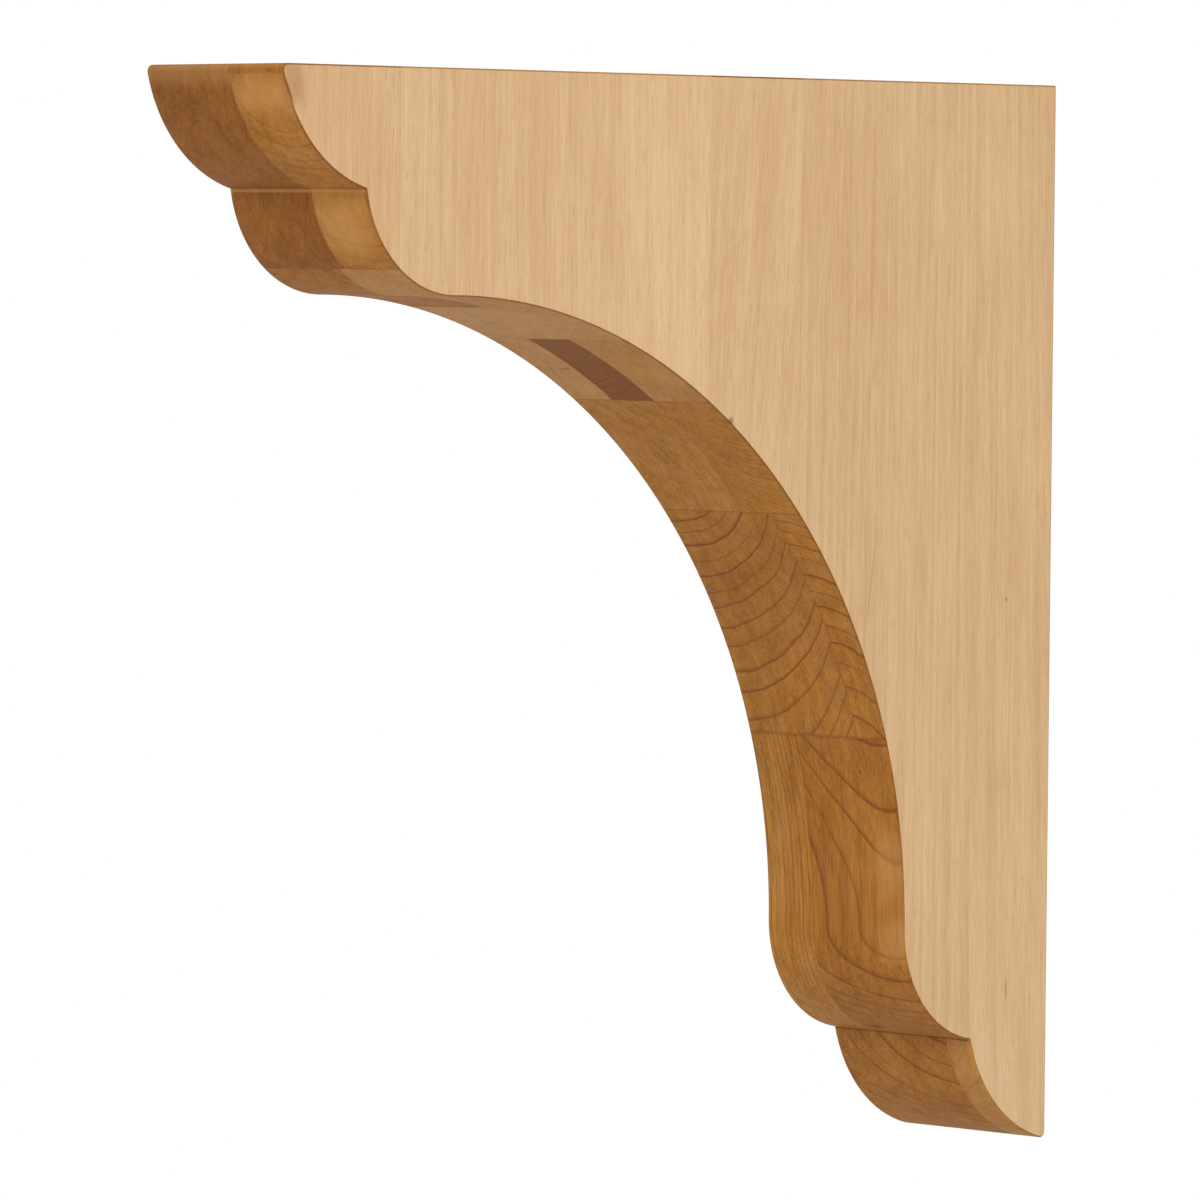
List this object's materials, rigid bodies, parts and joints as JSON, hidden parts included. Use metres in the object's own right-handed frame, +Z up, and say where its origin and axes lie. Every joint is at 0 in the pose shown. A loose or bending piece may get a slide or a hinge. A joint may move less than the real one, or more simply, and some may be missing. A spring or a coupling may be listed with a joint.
{
  "type": "wooden corbel bracket",
  "caption": "Flat wooden bracket corbel with a quarter-round arch under the arm and two rounded scallops at each tip, glued up from upright maple staves.",
  "frame": {"origin": "middle of the flat face that is fixed to the wall", "axes": "+Y into the wall, +Z up, +X across the thickness, to the right when facing the wall"},
  "size_m": [0.0444, 0.2536, 0.2536],
  "materials": {
    "maple": "satin, sanded hard maple under a thin clear coat",
    "maple_warm": "satin, warmer and browner hard maple under a thin clear coat",
    "maple_heartwood": "satin, brown maple heartwood under a thin clear coat"
  },
  "bodies": {
    "root": {"wall_stave_left": "maple", "wall_stave_right": "maple", "foot_stave_left": "maple_warm", "foot_stave_right": "maple", "lower_arch_left": "maple_warm", "lower_arch_right": "maple", "middle_arch_left": "maple", "middle_arch_right": "maple", "upper_arch_left": "maple", "upper_arch_middle": "maple_heartwood", "upper_arch_right": "maple", "crown_stave": "maple", "shoulder_left": "maple_warm", "shoulder_right": "maple", "nose_left": "maple_warm", "nose_right": "maple"}
  },
  "joints": []
}
